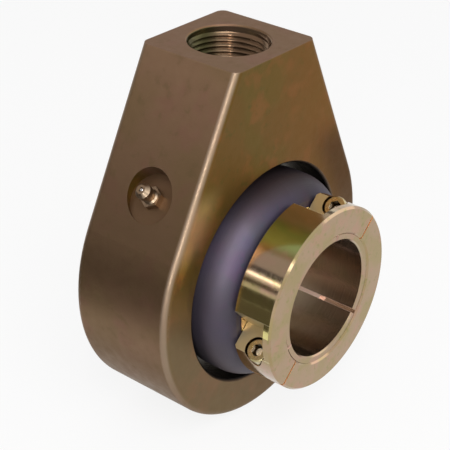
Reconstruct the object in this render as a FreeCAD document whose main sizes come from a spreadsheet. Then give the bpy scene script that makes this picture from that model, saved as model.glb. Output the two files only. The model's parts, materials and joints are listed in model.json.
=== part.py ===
# Self-aligning hanger bearing: a tapered block hung from a pipe, holding a ball
# bearing insert whose inner ring is clamped to the shaft by a two-piece collar.
# Frame: millimetres, +Z up towards the pipe thread, shaft along Y, collar on the -Y side,
# origin at the centre of the spherical seat on the shaft's axis.
import FreeCAD, Part
import math
import os
import Sketcher

# Driving sizes: millimetres, and degrees where the name ends in Angle
SIZES = [
    ("HousingThickness", 48.0),
    ("TopWidth", 50.0),
    ("FloorThickness", 17.45),
    ("HousingWall", 15.5),
    ("EdgeRound", 3.2),
    ("MouthStep", 1.6),
    ("MouthChamfer", 1.0),
    ("SeatClearance", 0.05),
    ("LoadingClearance", 0.3),
    ("GreaseGrooveMargin", 0.3),
    ("GreaseGrooveDepth", 1.0),
    ("PipeRootRadius", 16.62),
    ("PipeDepth", 30.0),
    ("PipeChamfer", 0.7),
    ("PinRadius", 2.0),
    ("PinClearance", 0.03),
    ("PinReach", 1.8),
    ("PinChamfer", 0.4),
    ("AlignmentAngle", 2.0),
    ("OuterWall", 4.106),
    ("OuterRingWidth", 25.0),
    ("PinSlotDepth", 2.3),
    ("OuterRaceDepth", 3.294),
    ("SealSeatStep", 1.3),
    ("SealSeatDepth", 2.6),
    ("LubricationHoleRadius", 1.0),
    ("LubricationHoleMargin", 0.3),
    ("BallRadius", 7.144),
    ("RaceConformity", 1.04),
    ("RaceClearance", 0.02),
    ("ShaftRadius", 25.4),
    ("InnerWall", 8.2),
    ("InnerRaceDepth", 1.994),
    ("InnerRingOverhang", 9.7),
    ("InnerRingEdge", 0.6),
    ("NoseWall", 2.8),
    ("CollarSeatGap", 0.2),
    ("ClampSlotWidth", 1.6),
    ("ClampSlotInset", 1.2),
    ("ClampSlotAngle", 322.0),
    ("CageDepth", 5.0),
    ("CageRail", 1.456),
    ("PocketClearance", 0.16),
    ("SealThickness", 1.1),
    ("SealInset", 0.4),
    ("SealLipClearance", 0.05),
    ("SealLipHeight", 1.6),
    ("SealLipRise", 0.3),
    ("SealLipWidth", 1.8),
    ("SealBeadHeight", 1.2),
    ("FlingerWall", 1.6),
    ("FlingerGap", 3.7),
    ("FlingerEdgeGap", 3.9),
    ("FlingerNoseFlat", 0.9),
    ("FlingerHubLength", 6.0),
    ("BackFlingerWall", 1.2),
    ("BackFlingerRimGap", 5.2),
    ("BackFlingerGap", 0.6),
    ("BackFlingerHubLength", 4.0),
    ("BackFlingerLip", 2.4),
    ("CollarWall", 11.6),
    ("CollarStandoff", 13.0),
    ("CollarWidth", 18.5),
    ("CollarChamfer", 0.9),
    ("CollarBoreChamfer", 0.8),
    ("CollarInset", 0.6),
    ("CollarAngle", 133.0),
    ("SplitGap", 1.0),
    ("NotchReach", 8.5),
    ("NotchFloor", 17.2),
    ("NotchRim", 3.4),
    ("ScrewEdgeDistance", 6.8),
    ("ScrewSetback", 8.8),
    ("ScrewHeadSink", 0.55),
    ("ScrewLength", 22.0),
    ("ScrewRadius", 3.175),
    ("ScrewHeadRadius", 4.76),
    ("ScrewHeadHeight", 6.35),
    ("ScrewHeadChamfer", 0.5),
    ("ScrewSocketFlats", 4.76),
    ("ScrewSocketDepth", 3.2),
    ("ScrewHoleClearance", 0.2),
    ("CounterboreClearance", 0.44),
    ("TapMargin", 1.6),
    ("FittingAngle", 135.5),
    ("FittingOffset", 2.0),
    ("SpotfaceRadius", 10.8),
    ("SpotfaceDepth", 3.7),
    ("FittingThreadRadius", 3.175),
    ("FittingThreadLength", 7.5),
    ("FeedRadius", 1.6),
    ("FittingHexFlats", 7.94),
    ("FittingHexHeight", 3.0),
    ("FittingNeckRadius", 2.55),
    ("FittingHeadRadius", 3.26),
    ("FittingShoulder", 6.2),
    ("FittingHeadTop", 9.0),
    ("FittingHeight", 10.6),
    ("FittingTipRadius", 1.9),
    ("PassageRadius", 0.8),
    ("CheckBoreRadius", 1.3),
    ("CheckBoreBottom", 2.5),
    ("CheckConeHeight", 1.1),
    ("CheckMouthHeight", 0.5),
    ("CheckMouthRadius", 0.95),
    ("CheckBallRadius", 1.19),
    ("CheckBallClearance", 0.03),
    ("SpringRadius", 0.95),
    ("SpringWireHalf", 0.14),
    ("SpringTurns", 4.0),
]

BALL_COUNT = 10
CLAMP_SLOT_COUNT = 3
OVERRUN = 1.0
SHEET = "Sizes"
PARTS_FOLDER = "parts"
VOLUME_TOLERANCE = 1e-3


class Size:
    """A measure that knows both its number and its formula in the spreadsheet's names."""

    def __init__(self, value, formula):
        self.value = value
        self.formula = formula

    def joined(self, other, sign, value):
        return Size(value, "(" + self.formula + " " + sign + " " + as_size(other).formula + ")")

    def __add__(self, other):
        return self.joined(other, "+", self.value + as_size(other).value)

    def __sub__(self, other):
        return self.joined(other, "-", self.value - as_size(other).value)

    def __mul__(self, other):
        return self.joined(other, "*", self.value * as_size(other).value)

    def __truediv__(self, other):
        return self.joined(other, "/", self.value / as_size(other).value)

    def __radd__(self, other):
        return as_size(other) + self

    def __rmul__(self, other):
        return as_size(other) * self

    def __neg__(self):
        return as_size(0) - self


def as_size(number):
    """A plain number as a Size; a Size is given back as it is."""
    if isinstance(number, Size):
        return number
    return Size(float(number), repr(number))


def root(size):
    """Square root."""
    return Size(math.sqrt(size.value), "sqrt(" + size.formula + ")")


def cosine(angle):
    """Cosine of an angle in degrees."""
    return Size(math.cos(math.radians(angle.value)), "cos(" + angle.formula + ")")


def sine(angle):
    """Sine of an angle in degrees."""
    return Size(math.sin(math.radians(angle.value)), "sin(" + angle.formula + ")")


class Free:
    """A coordinate that the sketch's other constraints settle, with a first guess."""

    def __init__(self, size):
        self.value = as_size(size).value


class Arc:
    """A circular edge of a profile: its centre, its radius and the way it turns."""

    def __init__(self, centre_x, centre_y, radius, clockwise=False):
        self.centre = (as_size(centre_x), as_size(centre_y))
        self.radius = as_size(radius)
        self.clockwise = clockwise


document = FreeCAD.newDocument("HangerBearing")
sheet = document.addObject("Spreadsheet::Sheet", SHEET)
for row, (alias, value) in enumerate(SIZES, start=1):
    sheet.set("A" + str(row), alias)
    sheet.set("B" + str(row), str(value))
    sheet.setAlias("B" + str(row), alias)
document.recompute()


class Named:
    """The spreadsheet's sizes by name, such as size.TopWidth."""


size = Named()
for alias, value in SIZES:
    setattr(size, alias, Size(value, SHEET + "." + alias))


# Helpers for bodies, sketches and features
def new_body(label):
    """A body of its own for one piece."""
    body = document.addObject("PartDesign::Body", label)
    body.Label = label
    return body


def origin_feature(body, role):
    """A base plane or axis of a body, found by its role."""
    for feature in body.Origin.OriginFeatures:
        if feature.Role == role:
            return feature
    raise ValueError(role)


def bind(thing, name, measure):
    """Ties a property to a formula of the sheet's sizes."""
    thing.setExpression(name, as_size(measure).formula)


def new_sketch(body, plane, shift=(0, 0, 0), turn=0):
    """A sketch on a base plane, moved within it and along its normal, and turned about it."""
    sketch = body.newObject("Sketcher::SketchObject", "Sketch")
    sketch.AttachmentSupport = [(origin_feature(body, plane), "")]
    sketch.MapMode = "FlatFace"
    start = FreeCAD.Vector(*[as_size(part).value for part in shift])
    turned = FreeCAD.Rotation(FreeCAD.Vector(0, 0, 1), as_size(turn).value)
    sketch.AttachmentOffset = FreeCAD.Placement(start, turned)
    for axis, part in zip("xyz", shift):
        if isinstance(part, Size):
            bind(sketch, "AttachmentOffset.Base." + axis, part)
    if isinstance(turn, Size):
        bind(sketch, "AttachmentOffset.Rotation.Angle", turn)
    return sketch


def fix_coordinate(sketch, edge, point, direction, measure):
    """Holds one coordinate of a point at a size, or on the sketch's axis where it is zero."""
    if isinstance(measure, Free):
        return
    measure = as_size(measure)
    if measure.formula == "0":
        axis = -2 if direction == "DistanceX" else -1
        sketch.addConstraint(Sketcher.Constraint("PointOnObject", edge, point, axis))
        return
    constraint = Sketcher.Constraint(direction, -1, 1, edge, point, measure.value)
    number = sketch.addConstraint(constraint)
    bind(sketch, "Constraints[" + str(number) + "]", measure)


def plain(number):
    """The number of a Size, a Free or a plain value."""
    return number.value if isinstance(number, (Size, Free)) else float(number)


def draw_profile(sketch, corners, arcs=None, tangent=()):
    """A closed outline through the corners, with straight edges except where an Arc is given.

    Edge i runs from corner i to the next. A corner in tangent joins its edges smoothly.
    """
    arcs = arcs or {}
    first = sketch.GeometryCount
    ends = []
    for index, corner in enumerate(corners):
        following = corners[(index + 1) % len(corners)]
        start = FreeCAD.Vector(plain(corner[0]), plain(corner[1]), 0)
        finish = FreeCAD.Vector(plain(following[0]), plain(following[1]), 0)
        if index in arcs:
            arc = arcs[index]
            centre = FreeCAD.Vector(arc.centre[0].value, arc.centre[1].value, 0)
            circle = Part.Circle(centre, FreeCAD.Vector(0, 0, 1), arc.radius.value)
            angles = [math.atan2(point.y - centre.y, point.x - centre.x) for point in (start, finish)]
            if arc.clockwise:
                angles.reverse()
            sketch.addGeometry(Part.ArcOfCircle(circle, angles[0], angles[1]), False)
            ends.append((2, 1) if arc.clockwise else (1, 2))
        else:
            sketch.addGeometry(Part.LineSegment(start, finish), False)
            ends.append((1, 2))
    count = len(corners)
    for index in range(count):
        following = (index + 1) % count
        kind = "Tangent" if following in tangent else "Coincident"
        here = (first + index, ends[index][1])
        there = (first + following, ends[following][0])
        sketch.addConstraint(Sketcher.Constraint(kind, here[0], here[1], there[0], there[1]))
    for index, corner in enumerate(corners):
        fix_coordinate(sketch, first + index, ends[index][0], "DistanceX", corner[0])
        fix_coordinate(sketch, first + index, ends[index][0], "DistanceY", corner[1])
    for index, arc in arcs.items():
        fix_coordinate(sketch, first + index, 3, "DistanceX", arc.centre[0])
        fix_coordinate(sketch, first + index, 3, "DistanceY", arc.centre[1])
        radius = Sketcher.Constraint("Radius", first + index, arc.radius.value)
        number = sketch.addConstraint(radius)
        bind(sketch, "Constraints[" + str(number) + "]", arc.radius)


def draw_rectangle(sketch, left, right, low, high):
    """A closed rectangle."""
    draw_profile(sketch, [(left, low), (right, low), (right, high), (left, high)])


def draw_hexagon(sketch, flats):
    """A closed hexagon about the sketch's origin, given by its width across flats."""
    half = flats / 2
    corner = flats / root(as_size(3))
    draw_profile(sketch, [
        (corner, 0), (corner / 2, half), (-corner / 2, half),
        (-corner, 0), (-corner / 2, -half), (corner / 2, -half),
    ])


def add_feature(body, kind, sketch):
    """A feature of a body made from a sketch, as the body's new tip."""
    feature = body.newObject("PartDesign::" + kind, kind)
    feature.Profile = sketch
    sketch.Visibility = False
    body.Tip = feature
    return feature


def turn_about(body, kind, sketch, axis):
    """A Revolution or Groove all the way round one of the sketch's axes."""
    feature = add_feature(body, kind, sketch)
    feature.ReferenceAxis = (sketch, [axis])
    feature.Angle = 360
    return feature


def checked_cut(body, make):
    """Makes a cut and makes sure that it takes material away."""
    document.recompute()
    before = body.Shape.Volume
    feature = make()
    document.recompute()
    if body.Shape.Volume > before - VOLUME_TOLERANCE:
        raise ValueError(body.Label + ": " + feature.Name + " cuts nothing")
    return feature


def cut_groove(body, sketch, axis):
    """A turned cut."""
    return checked_cut(body, lambda: turn_about(body, "Groove", sketch, axis))


def cut_pocket(body, sketch, reverse=False, both_ways=False, depth=None):
    """A straight cut, right through or to a depth."""
    def make():
        feature = add_feature(body, "Pocket", sketch)
        feature.SideType = "Symmetric" if both_ways else "One side"
        feature.Reversed = reverse
        if depth is None:
            feature.Type = "ThroughAll"
        else:
            bind(feature, "Length", depth)
        return feature
    return checked_cut(body, make)


def polar_pattern(body, feature, count):
    """Repeats a cut evenly round the shaft's axis."""
    def make():
        pattern = body.newObject("PartDesign::PolarPattern", "PolarPattern")
        pattern.Originals = [feature]
        pattern.Axis = (origin_feature(body, "Y_Axis"), [""])
        pattern.Angle = 360
        pattern.Occurrences = count
        body.Tip = pattern
        return pattern
    return checked_cut(body, make)


def place(thing, x=0, y=0, z=0, lean=0):
    """Sets a piece at a point, leant about the Y axis by an angle."""
    turned = FreeCAD.Rotation(FreeCAD.Vector(0, 1, 0), as_size(lean).value)
    spot = FreeCAD.Vector(as_size(x).value, as_size(y).value, as_size(z).value)
    thing.Placement = FreeCAD.Placement(spot, turned)
    for name, part in (("Base.x", x), ("Base.y", y), ("Base.z", z), ("Rotation.Angle", lean)):
        if isinstance(part, Size):
            bind(thing, "Placement." + name, part)


def turned_ring(label, corners, arcs=None):
    """A ring about the shaft's axis, from corners given as distance along Y and radius."""
    body = new_body(label)
    sketch = new_sketch(body, "YZ_Plane")
    draw_profile(sketch, corners, arcs)
    turn_about(body, "Revolution", sketch, "H_Axis")
    return body


# Sizes worked out from the driving ones, from the shaft outwards
inner_land = size.ShaftRadius + size.InnerWall
nose_radius = size.ShaftRadius + size.NoseWall
pitch_radius = inner_land + size.BallRadius - size.InnerRaceDepth
outer_land = pitch_radius + size.BallRadius - size.OuterRaceDepth
ring_radius = pitch_radius + size.BallRadius + size.OuterWall
half_ring = size.OuterRingWidth / 2
ring_end_radius = root(ring_radius * ring_radius - half_ring * half_ring)
groove_radius = size.BallRadius * size.RaceConformity
outer_race_centre = pitch_radius + size.BallRadius + size.RaceClearance - groove_radius
inner_race_centre = pitch_radius - size.BallRadius - size.RaceClearance + groove_radius
outer_race_rise = outer_land - outer_race_centre
inner_race_rise = inner_race_centre - inner_land
outer_race_half = root(groove_radius * groove_radius - outer_race_rise * outer_race_rise)
inner_race_half = root(groove_radius * groove_radius - inner_race_rise * inner_race_rise)
seal_seat = outer_land + size.SealSeatStep
seal_seat_floor = half_ring - size.SealSeatDepth
lubrication_offset = outer_race_half + size.LubricationHoleMargin + size.LubricationHoleRadius
ring_back = half_ring + size.InnerRingOverhang

half_thickness = size.HousingThickness / 2
half_top = size.TopWidth / 2
seat_radius = ring_radius + size.SeatClearance
mouth_radius = ring_radius - size.MouthStep
seat_half_width = root(seat_radius * seat_radius - mouth_radius * mouth_radius)
round_radius = ring_radius + size.HousingWall
pipe_floor = seat_radius + size.FloorThickness
top_height = pipe_floor + size.PipeDepth
pin_bore_radius = size.PinRadius + size.PinClearance
corner_reach = half_top * half_top + top_height * top_height
tangent_along = round_radius * round_radius / corner_reach
tangent_across = round_radius * root(corner_reach - round_radius * round_radius) / corner_reach
touch_x = half_top * tangent_along + top_height * tangent_across
touch_z = top_height * tangent_along - half_top * tangent_across

flinger_radius = mouth_radius - size.FlingerGap
flinger_edge = half_ring + size.FlingerEdgeGap
collar_back = half_thickness + size.CollarStandoff
collar_front = collar_back + size.CollarWidth
collar_radius = nose_radius + size.CollarWall
inner_ring_front = collar_front - size.CollarInset
shoulder = collar_back - size.CollarSeatGap
collar_lean = as_size(90) - size.CollarAngle
screw_offset = collar_radius - size.ScrewEdgeDistance
screw_along = collar_front - size.ScrewSetback
screw_head_top = size.NotchFloor - size.ScrewHeadSink
screw_seat = screw_head_top - size.ScrewHeadHeight

fitting_lean = as_size(90) - size.FittingAngle
fitting_facing = touch_z * sine(size.FittingAngle) - touch_x * cosine(size.FittingAngle)
spotface_floor = round_radius * round_radius / fitting_facing - size.SpotfaceDepth
check_bore_top = size.FittingHeight - size.CheckConeHeight


def make_housing():
    """The tapered block: one casting, bored to a spherical seat and tapped for its pipe."""
    body = new_body("housing")
    outline = new_sketch(body, "XZ_Plane")
    draw_profile(
        outline,
        [(half_top, top_height), (-half_top, top_height),
         (Free(-touch_x), Free(touch_z)), (Free(touch_x), Free(touch_z))],
        arcs={2: Arc(0, 0, round_radius)},
        tangent=(2, 3),
    )
    block = add_feature(body, "Pad", outline)
    block.SideType = "Symmetric"
    bind(block, "Length", size.HousingThickness)
    document.recompute()
    round_face_edges(body, block)

    seat = new_sketch(body, "YZ_Plane")
    flare = mouth_radius + size.MouthChamfer + OVERRUN
    draw_profile(
        seat,
        [(-half_thickness - OVERRUN, 0), (-half_thickness - OVERRUN, flare),
         (-half_thickness + size.MouthChamfer, mouth_radius),
         (Free(-seat_half_width), mouth_radius), (Free(seat_half_width), mouth_radius),
         (half_thickness - size.MouthChamfer, mouth_radius),
         (half_thickness + OVERRUN, flare), (half_thickness + OVERRUN, 0)],
        arcs={3: Arc(0, 0, seat_radius, clockwise=True)},
    )
    cut_groove(body, seat, "H_Axis")

    grease_groove = new_sketch(body, "YZ_Plane")
    groove_front = lubrication_offset + size.LubricationHoleRadius + size.GreaseGrooveMargin
    groove_back = size.FittingOffset - size.FeedRadius - size.GreaseGrooveMargin
    draw_rectangle(grease_groove, -groove_front, -groove_back,
                   mouth_radius, seat_radius + size.GreaseGrooveDepth)
    cut_groove(body, grease_groove, "H_Axis")

    loading = new_sketch(body, "XZ_Plane")
    slot_radius = ring_radius + size.LoadingClearance
    slot_half = half_ring + size.LoadingClearance
    slot_reach = root(slot_radius * slot_radius - slot_half * slot_half)
    draw_profile(
        loading,
        [(Free(slot_reach), -slot_half), (Free(slot_reach), slot_half),
         (Free(-slot_reach), slot_half), (Free(-slot_reach), -slot_half)],
        arcs={0: Arc(0, 0, slot_radius), 2: Arc(0, 0, slot_radius)},
    )
    cut_pocket(body, loading)

    pipe = new_sketch(body, "XZ_Plane")
    pipe_flare = size.PipeRootRadius + size.PipeChamfer + OVERRUN
    draw_profile(pipe, [
        (0, pipe_floor), (size.PipeRootRadius, pipe_floor),
        (size.PipeRootRadius, top_height - size.PipeChamfer),
        (pipe_flare, top_height + OVERRUN), (0, top_height + OVERRUN),
    ])
    cut_groove(body, pipe, "V_Axis")

    pin_hole = new_sketch(body, "XZ_Plane")
    draw_rectangle(pin_hole, 0, pin_bore_radius, mouth_radius, pipe_floor + OVERRUN)
    cut_groove(body, pin_hole, "V_Axis")

    recess = new_sketch(body, "XZ_Plane", (0, 0, size.FittingOffset), -fitting_lean)
    tap_floor = spotface_floor - size.FittingThreadLength - size.TapMargin
    draw_profile(recess, [
        (0, mouth_radius), (size.FeedRadius, mouth_radius), (size.FeedRadius, tap_floor),
        (size.FittingThreadRadius, tap_floor), (size.FittingThreadRadius, spotface_floor),
        (size.SpotfaceRadius, spotface_floor), (size.SpotfaceRadius, top_height),
        (0, top_height),
    ])
    cut_groove(body, recess, "V_Axis")
    return body


def round_face_edges(body, block):
    """Rounds the block's outline on its front and back faces, but not along the top."""
    names = []
    for index, edge in enumerate(block.Shape.Edges, start=1):
        box = edge.BoundBox
        on_face = box.YLength < VOLUME_TOLERANCE
        along_top = box.ZMin > top_height.value - VOLUME_TOLERANCE
        if on_face and not along_top:
            names.append("Edge" + str(index))
    rounded = body.newObject("PartDesign::Fillet", "Fillet")
    rounded.Base = (block, names)
    bind(rounded, "Radius", size.EdgeRound)
    body.Tip = rounded


def make_alignment_pin():
    """The pin through the pipe hole's floor that keeps the outer ring from creeping round."""
    body = new_body("alignment_pin")
    sketch = new_sketch(body, "XZ_Plane")
    low = seat_radius - size.PinReach
    draw_profile(sketch, [
        (0, low), (size.PinRadius - size.PinChamfer, low),
        (size.PinRadius, low + size.PinChamfer),
        (size.PinRadius, pipe_floor - size.PinChamfer),
        (size.PinRadius - size.PinChamfer, pipe_floor), (0, pipe_floor),
    ])
    turn_about(body, "Revolution", sketch, "V_Axis")
    return body


def make_outer_ring():
    """The outer ring: a spherical outside, a deep raceway, and a slot for the pin."""
    body = turned_ring(
        "outer_ring",
        [(-half_ring, seal_seat), (-half_ring, Free(ring_end_radius)),
         (half_ring, Free(ring_end_radius)), (half_ring, seal_seat),
         (seal_seat_floor, seal_seat), (seal_seat_floor, outer_land),
         (Free(outer_race_half), outer_land),
         (Free(-outer_race_half), outer_land),
         (-seal_seat_floor, outer_land), (-seal_seat_floor, seal_seat)],
        arcs={1: Arc(0, 0, ring_radius, clockwise=True),
              6: Arc(0, outer_race_centre, groove_radius)},
    )
    slot = new_sketch(body, "XY_Plane", (0, 0, ring_radius - size.PinSlotDepth))
    travel = ring_radius * sine(size.AlignmentAngle) + size.LoadingClearance
    draw_profile(
        slot,
        [(Free(pin_bore_radius), Free(-travel)), (Free(pin_bore_radius), Free(travel)),
         (Free(-pin_bore_radius), Free(travel)), (Free(-pin_bore_radius), Free(-travel))],
        arcs={1: Arc(0, travel, pin_bore_radius), 3: Arc(0, -travel, pin_bore_radius)},
        tangent=(0, 1, 2, 3),
    )
    cut_pocket(body, slot, reverse=True)
    holes = new_sketch(body, "XZ_Plane", (0, 0, lubrication_offset), -fitting_lean)
    draw_rectangle(holes, 0, size.LubricationHoleRadius,
                   -ring_radius - OVERRUN, ring_radius + OVERRUN)
    cut_groove(body, holes, "V_Axis")
    return body


def make_inner_ring():
    """The inner ring: raceway, wide land and a slotted nose that the collar squeezes."""
    edge = size.InnerRingEdge
    body = turned_ring(
        "inner_ring",
        [(-inner_ring_front, size.ShaftRadius + edge), (-inner_ring_front, nose_radius),
         (-shoulder, nose_radius), (-shoulder, inner_land),
         (Free(-inner_race_half), inner_land),
         (Free(inner_race_half), inner_land),
         (ring_back - edge, inner_land),
         (ring_back, inner_land - edge),
         (ring_back, size.ShaftRadius + edge),
         (ring_back - edge, size.ShaftRadius),
         (-inner_ring_front + edge, size.ShaftRadius)],
        arcs={4: Arc(0, inner_race_centre, groove_radius)},
    )
    slot_start = shoulder + size.ClampSlotInset
    slot = new_sketch(body, "XZ_Plane", (0, 0, slot_start), size.ClampSlotAngle - 90)
    half_slot = size.ClampSlotWidth / 2
    draw_rectangle(slot, -half_slot, half_slot,
                   size.ShaftRadius - OVERRUN, nose_radius + OVERRUN)
    cut = cut_pocket(body, slot, reverse=True)
    polar_pattern(body, cut, CLAMP_SLOT_COUNT)
    return body


def make_cage():
    """The moulded cage: a plain ring with a round pocket for each ball."""
    half = size.BallRadius + size.CageRail
    inner = pitch_radius - size.CageDepth / 2
    outer = pitch_radius + size.CageDepth / 2
    body = turned_ring("cage", [
        (-half, inner), (half, inner),
        (half, outer), (-half, outer),
    ])
    pocket = new_sketch(body, "YZ_Plane")
    pocket_radius = size.BallRadius + size.PocketClearance
    draw_profile(
        pocket,
        [(0, Free(pitch_radius - pocket_radius)), (0, Free(pitch_radius + pocket_radius))],
        arcs={0: Arc(0, pitch_radius, pocket_radius)},
    )
    cut = cut_groove(body, pocket, "V_Axis")
    polar_pattern(body, cut, BALL_COUNT)
    return body


def make_balls():
    """The balls, each its own piece, evenly spaced with the first at the top."""
    balls = []
    for index in range(BALL_COUNT):
        label = "ball_" + str(index + 1).zfill(2)
        ball = document.addObject("Part::Sphere", label)
        ball.Label = label
        bind(ball, "Radius", size.BallRadius)
        angle = as_size(90 + index * 360 / BALL_COUNT)
        place(ball, x=pitch_radius * cosine(angle), z=pitch_radius * sine(angle))
        balls.append(ball)
    return balls


def make_seal(label, side):
    """A seal bonded to its steel washer, seated in the outer ring on one side."""
    face = half_ring - size.SealInset
    back = face - size.SealThickness
    lip_radius = inner_land + size.SealLipClearance
    lip_top = lip_radius + size.SealLipHeight
    lip_face = face + size.SealLipRise
    corners = [
        (seal_seat_floor, seal_seat), (face, seal_seat), (face, lip_top),
        (lip_face, lip_radius), (lip_face - size.SealLipWidth, lip_radius),
        (back, lip_top), (back, seal_seat - size.SealBeadHeight),
        (seal_seat_floor, seal_seat - size.SealBeadHeight),
    ]
    return turned_ring(label, [(side * along, radius) for along, radius in corners])


def make_front_flinger():
    """The domed shield that turns with the inner ring and fills the housing's mouth."""
    wall = size.FlingerWall
    nose = shoulder - size.InnerRingEdge
    hub_radius = inner_land + wall
    outer_end = hub_radius + size.FlingerNoseFlat
    drop = flinger_radius - outer_end
    run = nose - half_thickness
    dome = (run * run + drop * drop) / (2 * drop)
    centre_radius = flinger_radius - dome
    inner_dome = dome - wall
    inner_run = run - wall
    inner_end = centre_radius + root(inner_dome * inner_dome - inner_run * inner_run)
    hub_end = nose - size.FlingerHubLength
    return turned_ring(
        "front_flinger",
        [(-hub_end, inner_land), (-nose, inner_land),
         (-nose, Free(outer_end)), (-half_thickness, Free(flinger_radius)),
         (-flinger_edge, flinger_radius), (-flinger_edge, flinger_radius - wall),
         (-half_thickness, Free(flinger_radius - wall)), (wall - nose, Free(inner_end)),
         (wall - nose, hub_radius), (-hub_end, hub_radius)],
        arcs={2: Arc(-half_thickness, centre_radius, dome, clockwise=True),
              6: Arc(-half_thickness, centre_radius, inner_dome)},
    )


def make_back_flinger():
    """The small pressed slinger behind the rear seal."""
    wall = size.BackFlingerWall
    start = half_ring + size.BackFlingerGap
    hub = inner_land + wall
    rim = mouth_radius - size.BackFlingerRimGap
    return turned_ring("back_flinger", [
        (start, inner_land), (start + size.BackFlingerHubLength, inner_land),
        (start + size.BackFlingerHubLength, hub), (start + wall, hub), (start + wall, rim - wall),
        (start + size.BackFlingerLip, rim - wall), (start + size.BackFlingerLip, rim),
        (start, rim),
    ])


def collar_ring(label, keep_upper):
    """One half of the clamp collar, cut from a turned ring beside the split."""
    edge = size.CollarChamfer
    bore = nose_radius
    bore_edge = size.CollarBoreChamfer
    body = turned_ring(label, [
        (-collar_front, bore + bore_edge), (-collar_front, collar_radius - edge),
        (-collar_front + edge, collar_radius), (-collar_back - edge, collar_radius),
        (-collar_back, collar_radius - edge), (-collar_back, bore + bore_edge),
        (-collar_back - bore_edge, bore), (-collar_front + bore_edge, bore),
    ])
    side = -1 if keep_upper else 1
    split = new_sketch(body, "XZ_Plane")
    reach = collar_radius + OVERRUN
    draw_rectangle(split, -reach, reach, side * reach, -side * size.SplitGap / 2)
    cut_pocket(body, split, both_ways=True)
    place(body, lean=collar_lean)
    return body


def make_collar_upper():
    """The half with a stepped notch and a counterbored hole for each screw's head."""
    body = collar_ring("collar_upper_half", True)
    notches = new_sketch(body, "XZ_Plane", (0, 0, collar_front - size.NotchRim))
    reach = collar_radius + OVERRUN
    inside = screw_offset - size.NotchReach
    draw_rectangle(notches, inside, reach, size.NotchFloor, reach)
    draw_rectangle(notches, -reach, -inside, size.NotchFloor, reach)
    cut_pocket(body, notches)
    for side in (-1, 1):
        hole = new_sketch(body, "XZ_Plane", (side * screw_offset, 0, screw_along))
        clearance = size.ScrewRadius + size.ScrewHoleClearance
        counterbore = size.ScrewHeadRadius + size.CounterboreClearance
        draw_profile(hole, [
            (0, -size.SplitGap), (clearance, -size.SplitGap), (clearance, screw_seat),
            (counterbore, screw_seat), (counterbore, reach), (0, reach),
        ])
        cut_groove(body, hole, "V_Axis")
    return body


def make_collar_lower():
    """The half with the tapped holes."""
    body = collar_ring("collar_lower_half", False)
    for side in (-1, 1):
        hole = new_sketch(body, "XZ_Plane", (side * screw_offset, 0, screw_along))
        tap_end = screw_seat - size.ScrewLength - size.TapMargin
        draw_profile(hole, [
            (0, tap_end - size.TapMargin), (size.ScrewRadius, tap_end),
            (size.ScrewRadius, size.SplitGap), (0, size.SplitGap),
        ])
        cut_groove(body, hole, "V_Axis")
    return body


def make_clamp_screw(label, side):
    """A socket head cap screw, square to the collar's split."""
    body = new_body(label)
    sketch = new_sketch(body, "XZ_Plane")
    head = size.ScrewHeadRadius
    edge = size.ScrewHeadChamfer
    tip = screw_seat - size.ScrewLength
    draw_profile(sketch, [
        (0, tip), (size.ScrewRadius - edge, tip), (size.ScrewRadius, tip + edge),
        (size.ScrewRadius, screw_seat), (head, screw_seat),
        (head, screw_head_top - edge), (head - edge, screw_head_top), (0, screw_head_top),
    ])
    turn_about(body, "Revolution", sketch, "V_Axis")
    socket = new_sketch(body, "XY_Plane", (0, 0, screw_head_top))
    draw_hexagon(socket, size.ScrewSocketFlats)
    cut_pocket(body, socket, depth=size.ScrewSocketDepth)
    across = side * screw_offset
    place(body, x=across * cosine(collar_lean), y=-screw_along,
          z=-across * sine(collar_lean), lean=collar_lean)
    return body


def place_on_fitting(thing, height=0):
    """Sets a piece on the fitting's axis, at a height over the spotface's floor."""
    distance = spotface_floor + height
    place(thing, x=distance * cosine(size.FittingAngle), y=-size.FittingOffset,
          z=distance * sine(size.FittingAngle), lean=fitting_lean)


def make_fitting_body():
    """The grease fitting's steel body, with its hexagon, waisted head and ball seat."""
    body = new_body("grease_fitting_body")
    hexagon = new_sketch(body, "XY_Plane")
    draw_hexagon(hexagon, size.FittingHexFlats)
    flats = add_feature(body, "Pad", hexagon)
    bind(flats, "Length", size.FittingHexHeight)
    stem = new_sketch(body, "XZ_Plane")
    thread = size.FittingThreadRadius
    neck = size.FittingNeckRadius
    draw_profile(stem, [
        (0, -size.FittingThreadLength), (thread, -size.FittingThreadLength), (thread, 0),
        (thread, size.FittingHexHeight),
        (neck, size.FittingHexHeight + thread - neck), (neck, size.FittingShoulder),
        (size.FittingHeadRadius, size.FittingShoulder + size.FittingHeadRadius - neck),
        (size.FittingHeadRadius, size.FittingHeadTop),
        (size.FittingTipRadius, size.FittingHeight), (0, size.FittingHeight),
    ])
    turn_about(body, "Revolution", stem, "V_Axis")
    passage = new_sketch(body, "XZ_Plane")
    draw_profile(passage, [
        (0, -size.FittingThreadLength - OVERRUN),
        (size.PassageRadius, -size.FittingThreadLength - OVERRUN),
        (size.PassageRadius, size.CheckBoreBottom), (size.CheckBoreRadius, size.CheckBoreBottom),
        (size.CheckBoreRadius, check_bore_top),
        (size.CheckMouthRadius, size.FittingHeight - size.CheckMouthHeight),
        (size.CheckMouthRadius, size.FittingHeight + OVERRUN), (0, size.FittingHeight + OVERRUN),
    ])
    cut_groove(body, passage, "V_Axis")
    place_on_fitting(body)
    return body


def check_ball_height():
    """Height of the check ball's centre when it rests against the cone under the mouth."""
    fall = size.CheckBoreRadius - size.CheckMouthRadius
    rise = size.CheckConeHeight - size.CheckMouthHeight
    slope = root(fall * fall + rise * rise)
    reach = size.CheckBallRadius + size.CheckBallClearance
    return check_bore_top - (reach * slope - rise * size.CheckBoreRadius) / fall


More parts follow.
